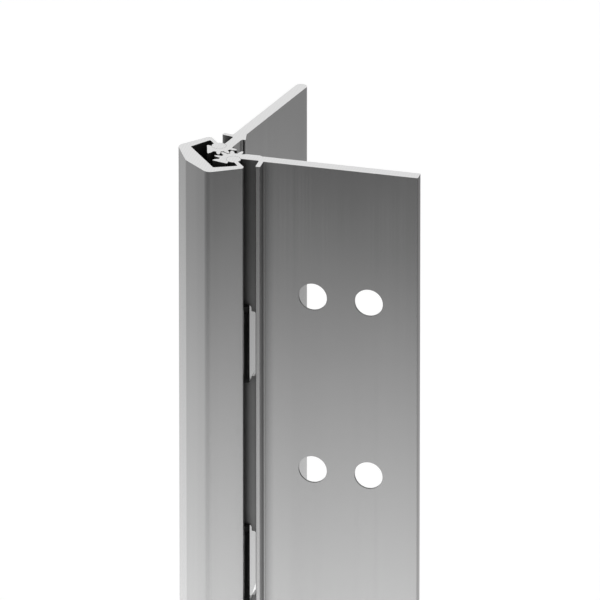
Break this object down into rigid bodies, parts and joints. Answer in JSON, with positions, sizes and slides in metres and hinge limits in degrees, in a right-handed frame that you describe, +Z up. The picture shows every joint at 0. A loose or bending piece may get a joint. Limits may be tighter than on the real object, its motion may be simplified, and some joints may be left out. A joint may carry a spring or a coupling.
{
  "type": "continuous geared hinge",
  "caption": "Pinless continuous door hinge: two aluminium leaves with meshing gear teeth, held by a C-shaped cover channel over thrust bearings.",
  "frame": {"origin": "centre of the bounding box at the lower cut end, with the leaves 77 degrees apart", "axes": "+Z up along the pivots, +X along the door leaf from its pivot to its free edge, -Y out of the door leaf's mounting face"},
  "size_m": [0.067, 0.0616, 0.4318],
  "materials": {
    "leaf_aluminium": "satin clear-anodised extrusion",
    "channel_aluminium": "satin clear-anodised extrusion",
    "bearing_acetal": "black moulded acetal"
  },
  "bodies": {
    "frame_leaf": {"frame_leaf": "leaf_aluminium"},
    "channel": {"cover_channel": "channel_aluminium", "thrust_bearing_1": "bearing_acetal", "thrust_bearing_2": "bearing_acetal", "thrust_bearing_3": "bearing_acetal", "thrust_bearing_4": "bearing_acetal", "thrust_bearing_5": "bearing_acetal", "thrust_bearing_6": "bearing_acetal"},
    "door_leaf": {"door_leaf": "leaf_aluminium"}
  },
  "joints": [
    {"name": "frame_pivot", "type": "hinge", "parent": "frame_leaf", "child": "channel", "pos_m": [-0.023, -0.01362, 0.2159], "axis": [0, 0, -1], "range_deg": [-38.5, 51.5]},
    {"name": "door_pivot", "type": "hinge", "parent": "channel", "child": "door_leaf", "pos_m": [-0.01702, -0.02113, 0.2159], "axis": [0, 0, -1], "range_deg": [-38.5, 51.5]}
  ],
  "couplings": [
    {"joint": "door_pivot", "follows": "frame_pivot", "ratio": 1}
  ]
}
